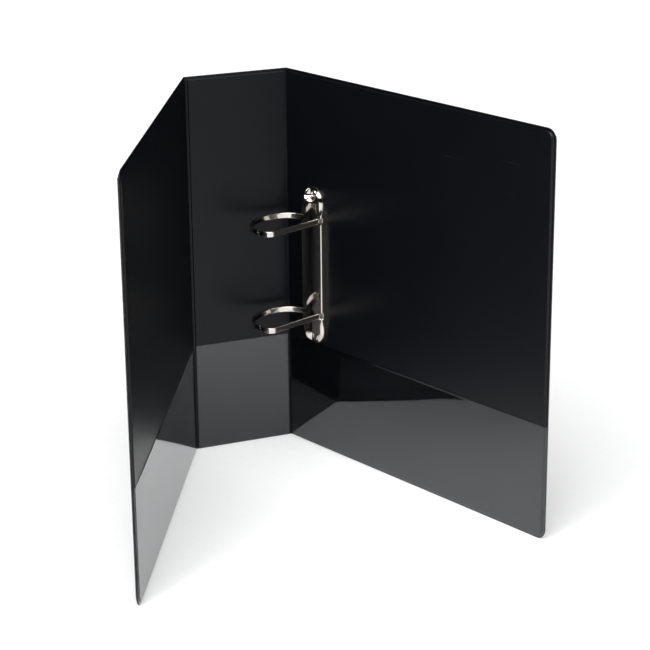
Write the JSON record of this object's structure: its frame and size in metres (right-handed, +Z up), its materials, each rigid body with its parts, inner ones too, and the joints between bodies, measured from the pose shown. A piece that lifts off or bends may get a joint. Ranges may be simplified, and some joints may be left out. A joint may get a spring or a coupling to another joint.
{
  "type": "ring binder",
  "caption": "Two-ring presentation binder for A4 sheets, with D rings on the back cover, stiff PVC-covered panels, welded hinges, clear overlay pockets outside and low clear pockets inside.",
  "frame": {"origin": "middle of the spine's bottom edge, halfway through the spine's thickness", "axes": "+X across the spine towards the back cover, +Y out of the spine's outer face, +Z up the spine"},
  "size_m": [0.3141, 0.2728, 0.315],
  "materials": {
    "black_pvc": "gloss",
    "greyboard": "matte",
    "clear_film": "gloss",
    "nickel_plate": "polished",
    "plain_steel": "satin"
  },
  "bodies": {
    "spine": {"spine_board": "greyboard", "spine_skin": "black_pvc", "spine_lining": "black_pvc", "spine_film": "clear_film", "spine_pocket": "clear_film", "front_hinge_web": "black_pvc", "back_hinge_web": "black_pvc"},
    "front_cover": {"front_board": "greyboard", "front_skin": "black_pvc", "front_lining": "black_pvc", "front_film": "clear_film", "front_pocket": "clear_film"},
    "back_cover": {"back_board": "greyboard", "back_skin": "black_pvc", "back_lining": "black_pvc", "back_film": "clear_film", "back_pocket": "clear_film", "ring_housing": "nickel_plate", "housing_rivets": "nickel_plate"},
    "straight_half": {"straight_leg_plate": "plain_steel", "upper_straight_leg": "nickel_plate", "lower_straight_leg": "nickel_plate"},
    "curved_half": {"curved_leg_plate": "plain_steel", "upper_curved_leg": "nickel_plate", "lower_curved_leg": "nickel_plate"}
  },
  "joints": [
    {"name": "front_cover_hinge", "type": "hinge", "parent": "spine", "child": "front_cover", "pos_m": [-0.043, 0, 0.1575], "axis": [0, 0, -1], "range_deg": [-26.7, 63.3], "deforming": ["front_hinge_web"]},
    {"name": "back_cover_hinge", "type": "hinge", "parent": "spine", "child": "back_cover", "pos_m": [0.043, 0, 0.1575], "axis": [0, 0, 1], "range_deg": [-19.8, 70.2], "deforming": ["back_hinge_web"]},
    {"name": "straight_half_hinge", "type": "hinge", "parent": "back_cover", "child": "straight_half", "pos_m": [0.05487, -0.0427, 0.1575], "axis": [0, 0, 1], "range_deg": [0, 7.5]},
    {"name": "curved_half_hinge", "type": "hinge", "parent": "back_cover", "child": "curved_half", "pos_m": [0.04796, -0.02351, 0.1575], "axis": [0, 0, 1], "range_deg": [-7.5, 0]}
  ],
  "couplings": [
    {"joint": "curved_half_hinge", "follows": "straight_half_hinge", "ratio": -1}
  ]
}
